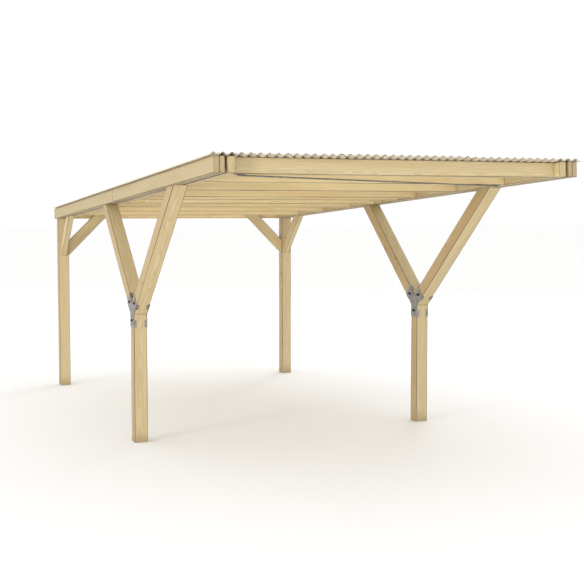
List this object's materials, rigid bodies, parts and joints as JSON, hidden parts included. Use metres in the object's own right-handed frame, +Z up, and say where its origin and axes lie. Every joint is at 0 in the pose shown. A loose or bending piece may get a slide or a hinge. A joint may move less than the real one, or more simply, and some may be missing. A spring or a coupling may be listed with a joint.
{
  "type": "open timber carport",
  "caption": "Open single-bay timber carport with Y-shaped front posts, straight rear posts with knee braces and a lean-to corrugated roof.",
  "frame": {"origin": "centre of the whole box at ground level, under the feet of the posts", "axes": "+Z up; -Y towards the front, the high end with the Y-shaped posts; +X to the right seen from the front"},
  "size_m": [3.08, 6.391, 2.5255],
  "materials": {
    "timber": "planed softwood, pale, lightly oiled",
    "galvanised_steel": "hot-dip galvanised sheet, dull",
    "roof_sheet": "pale corrugated sheet, satin"
  },
  "bodies": {
    "root": {"post_front_left": "timber", "post_front_right": "timber", "post_back_left": "timber", "post_back_right": "timber", "arm_front_left": "timber", "arm_front_right": "timber", "arm_back_left": "timber", "arm_back_right": "timber", "fork_plate_left_outer": "galvanised_steel", "fork_plate_left_inner": "galvanised_steel", "fork_plate_right_inner": "galvanised_steel", "fork_plate_right_outer": "galvanised_steel", "outer_board_front_left": "timber", "outer_board_front_right": "timber", "outer_board_back_left": "timber", "outer_board_back_right": "timber", "middle_board_left": "timber", "middle_board_right": "timber", "inner_beam_front_left": "timber", "inner_beam_front_right": "timber", "inner_beam_back_left": "timber", "inner_beam_back_right": "timber", "front_cross_beam": "timber", "back_cross_beam": "timber", "joist_1": "timber", "joist_2": "timber", "joist_3": "timber", "joist_4": "timber", "joist_5": "timber", "joist_6": "timber", "joist_7": "timber", "joist_8": "timber", "knee_side_left": "timber", "knee_side_right": "timber", "knee_back_left": "timber", "knee_back_right": "timber", "roof_sheet_left": "roof_sheet", "roof_sheet_middle": "roof_sheet", "roof_sheet_right": "roof_sheet", "wind_rod": "galvanised_steel"}
  },
  "joints": []
}
